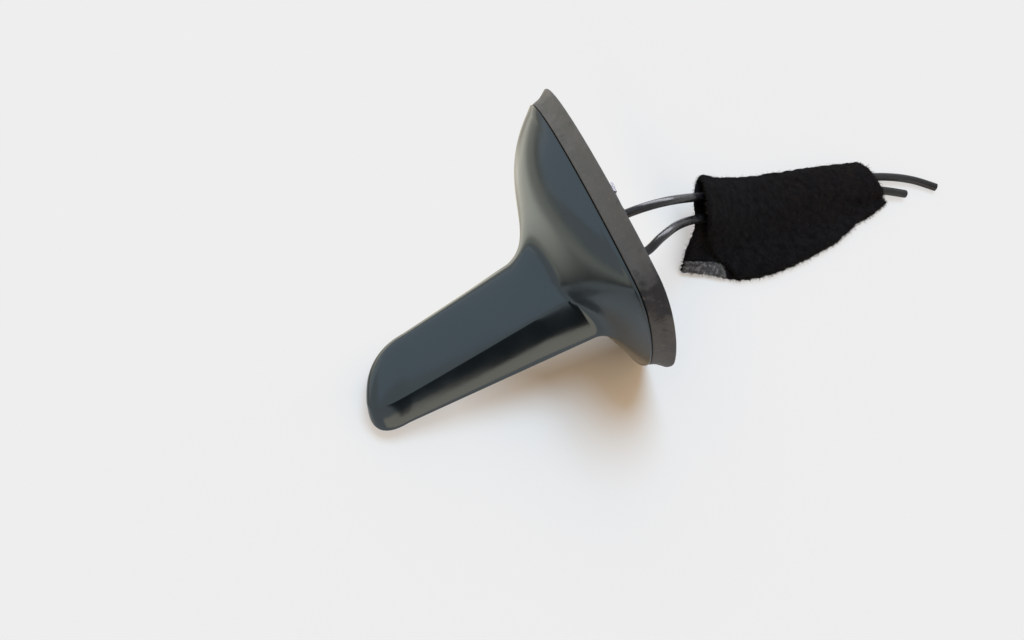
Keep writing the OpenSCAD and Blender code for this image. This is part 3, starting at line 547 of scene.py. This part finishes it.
# The parts inside: the CAD nodes, then what plain_finish is given for them
INSIDE = (
    (("base_plate",), "cast_metal", (0.42, 0.42, 0.43), (0.55, 0.55, 0.56), 500, 0.4, 0.6, 0.0001, 1.0),
    (("hole_seal",), "black_foam", (0.012, 0.012, 0.013), (0.03, 0.03, 0.03), 900, 0.8, 0.95, 0.0002),
    (("cover_seal",), "black_rubber", (0.012, 0.012, 0.012), (0.02, 0.02, 0.02), 400, 0.5, 0.65),
    (("front_grommet", "rear_grommet"), "black_rubber",
     (0.016, 0.016, 0.017), (0.03, 0.03, 0.03), 600, 0.5, 0.65),
    (("front_clip", "rear_clip"), "spring_steel",
     (0.1, 0.1, 0.11), (0.16, 0.16, 0.17), 700, 0.25, 0.4, 0.00002, 1.0),
    (("board_screws", "cover_screws"), "screw_steel",
     (0.5, 0.5, 0.5), (0.65, 0.65, 0.64), 900, 0.25, 0.4, 0.00002, 1.0),
    (("circuit_board",), "board_laminate", (0.012, 0.09, 0.035), (0.02, 0.14, 0.055), 700, 0.3, 0.42),
    (("radiator_board",), "board_laminate", (0.02, 0.08, 0.03), (0.03, 0.12, 0.05), 700, 0.3, 0.42),
    (("patch_pad",), "white_foam", (0.72, 0.72, 0.68), (0.82, 0.82, 0.79), 900, 0.7, 0.9, 0.0001),
    (("patch_ceramic",), "ceramic", (0.56, 0.50, 0.40), (0.66, 0.60, 0.50), 500, 0.35, 0.5),
    (("patch_electrode",), "silver_face",
     (0.75, 0.74, 0.71), (0.85, 0.85, 0.83), 600, 0.25, 0.4, 0.00002, 1.0),
    (("feed_pin", "cable_ferrules"), "plated_brass",
     (0.72, 0.62, 0.40), (0.8, 0.72, 0.5), 900, 0.2, 0.35, 0.00002, 1.0),
    (("shield_can",), "can_sheet",
     (0.66, 0.66, 0.65), (0.76, 0.76, 0.75), 500, 0.25, 0.42, 0.00003, 1.0),
    (("filter_chip",), "filter_case", (0.5, 0.44, 0.33), (0.6, 0.55, 0.44), 900, 0.35, 0.5),
    (("amplifier_chip",), "chip_case", (0.012, 0.012, 0.012), (0.022, 0.022, 0.022), 1500, 0.45, 0.6),
    (("capacitors",), "capacitor_case", (0.36, 0.27, 0.17), (0.47, 0.37, 0.25), 1500, 0.4, 0.55),
    (("radiator_holder",), "white_plastic", (0.72, 0.72, 0.68), (0.8, 0.8, 0.77), 500, 0.35, 0.5),
)


def finish_inside():
    for nodes, name, *values in INSIDE:
        material = plain_finish(name, *values)
        for node in nodes:
            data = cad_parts[node].data
            if not data.materials:
                data.materials.append(material)
            for i in range(len(data.materials)):
                data.materials[i] = material


# Felt
def forward_of(route, along):
    return lookup(along, [(p[1], p[0]) for p in route])


def height_of(route, along):
    return lookup(along, [(p[1], p[2]) for p in route])


def felt_middle(j, along):
    """Middle of the felt's thickness at its section point j, as (forward, above)."""
    # Where the cables run down steeply the section cuts them aslant, and the felt stands farther off
    before, after = (height_of(FRONT_ROUTE, along + step) for step in (-SLOPE_STEP, SLOPE_STEP))
    steep = (before - after) / (2 * SLOPE_STEP)
    lift = (CABLE_R + FELT_CLEAR + FELT_T / 2) * math.sqrt(1 + steep * steep) + FELT_GAP / 2
    x1, h1 = forward_of(FRONT_ROUTE, along), height_of(FRONT_ROUTE, along)
    x2, h2 = forward_of(REAR_ROUTE, along), height_of(REAR_ROUTE, along)
    tilt = max(0, h1 - h2) * FELT_TILT
    hem, fold = lookup(along, FELT_HEM), lookup(along, FELT_FOLD)
    low = FELT_GAP + FELT_T / 2
    high = low + FELT_T + FELT_GAP
    under, side = max(low, h2 - lift - tilt * FELT_TILT), (hem + x2) / 2
    return ((hem, low), (side, mix(low, under, FELT_SAG)), (x2 - FELT_OUT, under),
            (x1 + FELT_OUT, max(low, h1 - lift - tilt * FELT_TILT)),
            (fold - FOLD_R, max(low, h1 - FOLD_R)), (fold, max(low + FOLD_R, h1)),
            (fold - FOLD_R, max(low + 2 * FOLD_R, h1 + FOLD_R)),
            (x1 + FELT_OUT, h1 + lift + tilt), (x2 - FELT_OUT, h2 + lift + tilt),
            (side, mix(high, under + FELT_T + FELT_GAP, FELT_SAG)), (hem + HEM_STEP, high))[j]


def spline_through(points, count):
    """Evenly numbered points on a smooth curve through the given ones."""
    result = []
    spans = len(points) - 1
    for n in range(count):
        at = n / (count - 1) * spans
        i = min(int(at), spans - 1)
        u = at - i
        b, c = points[i], points[i + 1]
        a = points[i - 1] if i > 0 else b + (b - c)
        d = points[i + 2] if i + 2 <= spans else c + (c - b)
        result.append(0.5 * (2 * b + (c - a) * u + (2 * a - 5 * b + 4 * c - d) * u * u
                             + (3 * b - a - 3 * c + d) * u ** 3))
    return result


# The two ends of a row or column, each with its neighbour
ENDS = ((0, 1), (-1, -2))


def fray(edge, inner):
    """The edge's point, moved a little away from the inner one or toward it."""
    return edge + (edge - inner).normalized() * RAGGED * noise.noise(edge * RAGGED_SCALE)


def felt_surface():
    """Grid of the felt's middle surface, a row at each station along the table."""
    coarse = []
    for i in range(FELT_STATIONS):
        row = []
        for j, (start, end) in enumerate(zip(FELT_FROM, FELT_TO)):
            along = mix(start, end, i / (FELT_STATIONS - 1))
            forward, above = felt_middle(j, along)
            row.append(Vector((forward, along, above)))
        coarse.append(spline_through(row, FELT_COLUMNS))
    columns = [spline_through([row[j] for row in coarse], FELT_ROWS) for j in range(FELT_COLUMNS)]
    grid = [[lay(column[i]) for column in columns] for i in range(FELT_ROWS)]
    for row in grid:
        for edge, inner in ENDS:
            row[edge] = fray(row[edge], row[inner])
    for j in range(FELT_COLUMNS):
        for edge, inner in ENDS:
            grid[edge][j] = fray(grid[edge][j], grid[inner][j])
    return grid


def grid_normals(grid):
    rows, columns = len(grid), len(grid[0])
    result = []
    for i in range(rows):
        line = []
        for j in range(columns):
            down = grid[min(i + 1, rows - 1)][j] - grid[max(i - 1, 0)][j]
            across = grid[i][min(j + 1, columns - 1)] - grid[i][max(j - 1, 0)]
            line.append(down.cross(across).normalized())
        result.append(line)
    return result


def slab_faces(rows, columns):
    """Faces of two layers of a grid and of the rim, where the first layer lies along its normals."""
    layer = rows * columns
    faces = []
    for i in range(rows - 1):
        for j in range(columns - 1):
            a, b = i * columns + j, (i + 1) * columns + j
            faces += [(a, b, b + 1, a + 1), (layer + a, layer + a + 1, layer + b + 1, layer + b)]
    rim = [i * columns for i in range(rows)]
    rim += [(rows - 1) * columns + j for j in range(1, columns)]
    rim += [i * columns + columns - 1 for i in range(rows - 2, -1, -1)]
    rim += range(columns - 2, 0, -1)
    faces += [(a, layer + a, layer + b, b) for a, b in zip(rim, rim[1:] + rim[:1])]
    return faces


def make_felt(material):
    """The felt scrap, with its middle surface and normals for the fibres and the strip."""
    grid = felt_surface()
    normals = grid_normals(grid)
    points = []
    for side in (1, -1):
        for i in range(FELT_ROWS):
            for j in range(FELT_COLUMNS):
                edge = min(i, j, FELT_ROWS - 1 - i, FELT_COLUMNS - 1 - j)
                thick = FELT_T / 2 * min(1, EDGE_THIN + EDGE_RISE * edge)
                p, n = grid[i][j], normals[i][j]
                wave = sum(height * noise.noise(p * scale) for scale, height in FELT_WAVES)
                points.append(p + n * (side * thick + wave * min(1, EDGE_RISE * edge)))
    felt = make_object("felt_scrap", points, slab_faces(FELT_ROWS, FELT_COLUMNS), material)
    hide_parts("felt_wrap")
    return felt, grid, normals


def make_fibres(grid, normals, material):
    """Loose fibres that stand off the felt's faces and out past its cut edges."""
    dice = random.Random(FIBRE_SEED)
    rows, columns = len(grid), len(grid[0])
    tube = ring_faces(FIBRE_RINGS, FIBRE_SIDES)
    points, faces = [], []

    def either_way(reach):
        return dice.uniform(-reach, reach)

    def random_way():
        return Vector([either_way(1) for _ in range(3)])

    def fibre(start, way, length, bend):
        u = way.orthogonal().normalized()
        v = way.cross(u)
        first = len(points)
        for k in range(FIBRE_RINGS):
            share = k / (FIBRE_RINGS - 1)
            middle = start + way * length * share + bend * (share * share * length)
            for m in range(FIBRE_SIDES):
                turn = 2 * math.pi * m / FIBRE_SIDES
                out = u * math.cos(turn) + v * math.sin(turn)
                points.append(middle + out * FIBRE_R * (1 - FIBRE_THIN * share))
        faces.extend(tuple(first + corner for corner in face) for face in tube)

    for _ in range(FACE_FIBRES):
        i, j = dice.randrange(1, rows - 1), dice.randrange(1, columns - 1)
        n = normals[i][j] * dice.choice((-1, 1))
        along = (grid[i + 1][j] - grid[i][j]).normalized()
        across = n.cross(along)
        turn = dice.uniform(0, 2 * math.pi)
        way = along * math.cos(turn) + across * math.sin(turn) + n * dice.uniform(*FACE_LIFT)
        start = (grid[i][j] + n * FELT_T * FACE_ROOT + along * either_way(ALONG_SCATTER)
                 + across * either_way(ACROSS_SCATTER))
        length = dice.uniform(*FACE_LENGTHS)
        fibre(start, way.normalized(), length, random_way() * FACE_BEND - n * FACE_DROOP)
    for _ in range(EDGE_FIBRES):
        which = dice.randrange(4)
        edge, inner = ENDS[which % 2]
        if which < 2:
            j = dice.randrange(columns)
            root, inside, n = grid[edge][j], grid[inner][j], normals[edge][j]
        else:
            i = dice.randrange(rows)
            root, inside, n = grid[i][edge], grid[i][inner], normals[i][edge]
        way = (root - inside).normalized() + random_way() * EDGE_STRAY
        start = root + n * either_way(EDGE_ROOT) * FELT_T
        length = dice.uniform(*EDGE_LENGTHS)
        fibre(start, way.normalized(), length, random_way() * EDGE_BEND)
    fibres = make_object("felt_fibres", points, faces, material)
    return fibres


def make_strip(grid, normals, material):
    """The film of old adhesive along the corner of the felt's back layer."""
    rows, columns = STRIP_ROWS, STRIP_COLUMNS
    lower, upper = [], []
    for i in range(rows):
        for j in range(columns):
            p, n = grid[i][j], normals[i][j]
            crinkle = noise.noise(p * CRINKLE_SCALE) * STRIP_CRINKLE
            edge = 0 if 0 < i < rows - 1 and 0 < j < columns - 1 else STRIP_EDGE
            upper.append(p + n * (FELT_T / 2 + STRIP_RISE + crinkle - edge))
            lower.append(p + n * (FELT_T / 2 - STRIP_SINK))
    strip = make_object("adhesive_strip", upper + lower, slab_faces(rows, columns), material)
    return strip


# Stage and light: lengths are in metres from here on, and places on the table in millimetres
MIDDLE = Vector((0, 0, 0))
CORNERS = ((-1, -1), (1, -1), (1, 1), (-1, 1))
TABLE_NORMAL = Vector((0, -math.cos(TABLE_LEAN), -math.sin(TABLE_LEAN)))
TABLE_ALONG = (0, math.sin(TABLE_LEAN), -math.cos(TABLE_LEAN))
TABLE_HALF = 4.0
TABLE_GREY, PLAIN_WHITE, PANEL_BLACK = 0.86, 0.855, 0.002
# Where the shade on the table gives way: past the nose, under the fin, at the felt and at the fin's tip
NOSE_REACH, FIN_REACH = (-0.028, 0.004), (0.03, 0.06)
FELT_REACH, TIP_REACH = (0.02, 0.06), (-0.062, -0.028)
FELT_EASE, TIP_EASE = 0.7, 0.5
# The bright part of the table, its places as (forward, along, above). It fades round its middle by
# (inner, outer, share), rises ahead over a range of x, is dimmed by that share at some places, and ends
GLOW_CORNERS = ((600, 30, 0.5), (-5, 30, 0.5), (-5, -600, 0.5), (600, -600, 0.5))
GLOW_LIGHT, GLOW_STRENGTH, GLOW_LEAST = (1.0, 0.92, 0.77), 1.85, 0.48
GLOW_MIDDLE, GLOW_FADES = (10, -20, 0), ((0.08, 0.128, 0.6), (0.1, 0.4, 0.14))
GLOW_BESIDE, GLOW_SHIFT, GLOW_AHEAD, GLOW_LEVELS = (0.03, 0.08), 0.02, (0.0, 0.05), (0.2, 1.4)
GLOW_DIMS = (((22, -2, 0), 0.03, 0.043, 0.6), ((76, 4, 0), 0.022, 0.042, 0.65))
GLOW_END, GLOW_REACH = (0.2, 0.26), (0.5, 0.6)
FILL_LIGHT = (0.69, 0.505, 0.33)


def aim_along(way, place):
    """A place and turn whose own Z points along way."""
    return Matrix.Translation(place) @ way.to_track_quat("Z", "Y").to_matrix().to_4x4()


def light_share(f):
    """The share of plain white in the table's seen light; the shade shows beside dome and fin."""
    ahead = f.axis(0)
    along = f.add("ShaderNodeVectorMath", {0: f.place, 1: TABLE_ALONG}, operation="DOT_PRODUCT")
    along = along.outputs["Value"]
    share = f.maths("MULTIPLY", f.spread(ahead, *NOSE_REACH), f.spread(along, *FIN_REACH, 1.0, 0.0))
    share = f.maths("MAXIMUM", share, f.spread(along, *FELT_REACH, 0.0, FELT_EASE))
    share = f.maths("MAXIMUM", share, f.spread(along, *TIP_REACH, TIP_EASE, 0.0))
    return f.maths("MULTIPLY", share, f.add("ShaderNodeLightPath").outputs["Is Camera Ray"])


def make_floor():
    """The table, which is clear from behind."""
    mesh = bpy.data.meshes.new("table")
    mesh.from_pydata([(a * TABLE_HALF, b * TABLE_HALF, 0) for a, b in CORNERS], [], [(0, 1, 2, 3)])
    floor = bpy.data.objects.new("table", mesh)
    floor.matrix_world = aim_along(TABLE_NORMAL, -TABLE_NORMAL * TABLE_OFF * MM)
    scene.collection.objects.link(floor)
    f = Finish("table_top", Base_Color=grey(TABLE_GREY), Roughness=0.9, Specular_IOR_Level=0)
    spot = f.add("ShaderNodeNewGeometry").outputs
    f.place = spot["Position"]
    plain = f.add("ShaderNodeEmission", {"Color": grey(PLAIN_WHITE)}).outputs[0]
    clear = f.add("ShaderNodeBsdfTransparent").outputs[0]
    front = f.mixed(light_share(f), f.shader.outputs[0], plain)
    whole = f.mixed(spot["Backfacing"], front, clear)
    f.tree.links.new(whole, f.tree.nodes["Material Output"].inputs[0])
    mesh.materials.append(f.material)


def make_world():
    """White wherever the camera or a gloss sees past the table, and a dim warm fill for the shade."""
    world = bpy.data.worlds.new("room")
    world.use_nodes = True
    tree = world.node_tree
    white = tree.nodes["Background"]
    white.inputs[0].default_value = grey(PLAIN_WHITE)
    white.inputs[1].default_value = 1
    fill = add_node(tree, "ShaderNodeBackground", {0: rgb(*FILL_LIGHT), 1: 1})
    rays = add_node(tree, "ShaderNodeLightPath").outputs
    seen = rays["Is Camera Ray"]
    for kind in ("Is Glossy Ray", "Is Transmission Ray"):
        either = add_node(tree, "ShaderNodeMath", {0: seen, 1: rays[kind]}, operation="MAXIMUM")
        seen = either.outputs[0]
    blend = add_node(tree, "ShaderNodeMixShader", {0: seen, 1: fill.outputs[0], 2: white.outputs[0]})
    tree.links.new(blend.outputs[0], tree.nodes["World Output"].inputs[0])
    scene.world = world


def in_view(right, up, back):
    """A direction given along the camera's own axes, as the light was set for the photograph."""
    return (CAMERA_RIGHT * right + CAMERA_UP * up + CAMERA_BACK * back).normalized()


def make_key(way, strength, spread, colour):
    """A broad distant softbox in the direction way."""
    data = bpy.data.lights.new("key", "SUN")
    data.energy = strength * math.pi
    data.angle = math.radians(spread)
    data.color = colour
    lamp = bpy.data.objects.new("key", data)
    lamp.matrix_world = aim_along(way, way)
    lamp.visible_glossy = False
    scene.collection.objects.link(lamp)


def panel_finish(name, light):
    return Finish(name, Base_Color=grey(PANEL_BLACK), Roughness=1, Specular_IOR_Level=0,
                  Emission_Color=rgb(*light), Emission_Strength=1)


def make_panel(name, points, material):
    """A flat panel with the given corners, which shows only in the gloss of other things."""
    mesh = bpy.data.meshes.new(name)
    mesh.from_pydata([tuple(p) for p in points], [], [tuple(range(len(points)))])
    mesh.materials.append(material)
    panel = bpy.data.objects.new(name, mesh)
    scene.collection.objects.link(panel)
    for unseen in ("camera", "diffuse", "shadow", "transmission", "volume_scatter"):
        setattr(panel, "visible_" + unseen, False)


def make_card(name, start, way, distance, long_way, length, width, light):
    """A glowing panel at a distance from start along way, with its length along long_way."""
    along = (long_way - way * long_way.dot(way)).normalized()
    across = way.cross(along)
    middle = start + way * distance
    points = [middle + along * (length / 2 * a) + across * (width / 2 * b) for a, b in CORNERS]
    make_panel(name, points, panel_finish(name, light).material)


def make_glow():
    """The bright part of the table ahead of the fin.

    It is brightest beside the dome, dims toward the fin's side and with distance, and far off it is no
    brighter than the plain table.
    """
    f = panel_finish("glow_panel", GLOW_LIGHT)

    def part(value, share):
        return f.maths("MULTIPLY", value, share)

    def rest(value):
        return f.maths("SUBTRACT", 1, value)

    middle = lay(GLOW_MIDDLE) * MM
    level = GLOW_LEAST
    for inner, outer, share in GLOW_FADES:
        level = f.maths("ADD", part(f.near(middle, inner, outer), share), level)
    ahead = f.maths("ADD", f.axis(0), part(f.near(middle, *GLOW_BESIDE), GLOW_SHIFT))
    level = part(level, f.spread(ahead, *GLOW_AHEAD, *GLOW_LEVELS))
    # The silhouette's own edge mirrors the table close behind it, which is no brighter than the rest
    for place, inner, outer, share in GLOW_DIMS:
        level = part(level, rest(part(f.near(lay(place) * MM, inner, outer), share)))
    level = part(level, GLOW_STRENGTH)
    within = part(f.spread(f.axis(0), *GLOW_END, 1.0, 0.0), f.near(MIDDLE, *GLOW_REACH))
    level = f.maths("ADD", part(level, within), part(rest(within), PLAIN_WHITE))
    f.tree.links.new(level, f.shader.inputs["Emission Strength"])
    make_panel("glow", [lay(corner) * MM for corner in GLOW_CORNERS], f.material)


# The scene, cords first
scene.view_settings.view_transform = "Standard"
jacket = cable_jacket()
front = make_cable("cable_front", CABLE_X, FRONT_ROUTE, jacket)
rear = make_cable("cable_rear", -CABLE_X, REAR_ROUTE, jacket)
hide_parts("front_cable")
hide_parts("rear_cable")

make_cover(cover_plastic())
make_gasket(gasket_rubber())
felt, felt_grid, felt_normals = make_felt(black_felt())
fibres = make_fibres(felt_grid, felt_normals, felt_fringe())
strip = make_strip(felt_grid, felt_normals, adhesive_film())
finish_inside()

make_floor()
make_world()
make_key(in_view(0.22, 0.67, 0.71), strength=0.53, spread=34, colour=(0.62, 0.99, 1.34))
make_glow()
# The black band down the fin's narrow back face, and the paler strip under it
make_card("dark_card", MIDDLE, in_view(0.334, -0.36, 0.871), distance=2.4,
          long_way=in_view(0.656, -0.755, 0), length=2.45, width=0.95, light=(0, 0, 0))
make_card("low_card", MIDDLE, in_view(0.33, -0.82, 0.46), distance=3.0,
          long_way=in_view(0.91, 0.41, 0), length=2.8, width=2.0, light=(2.1, 1.75, 1.42))
# The cool light on the fin's broad side, from close by, and the light past the nose
beside_fin = lay((-8, -52, 15)) * MM + in_view(-0.5, 0.86, 0) * 0.04
make_card("face_card", beside_fin, in_view(-0.287, 0.71, 0.643), distance=0.1,
          long_way=in_view(-0.86, -0.5, 0), length=0.14, width=0.14, light=(0.98, 1.08, 1.17))
make_card("nose_card", MIDDLE, in_view(-0.72, 0.66, 0.2), distance=1.0,
          long_way=in_view(0.6, 0.8, 0), length=0.9, width=0.5, light=(1.2, 1.25, 1.3))
# The highlight along the cables
make_card("streak_card", lay((4, 97, 4)) * MM, in_view(-0.12, 0.7, 0.7), distance=0.06,
          long_way=lay((-6, 137, 4)) - lay((19, 42, 4)), length=0.13, width=0.055, light=(8, 8, 8.8))
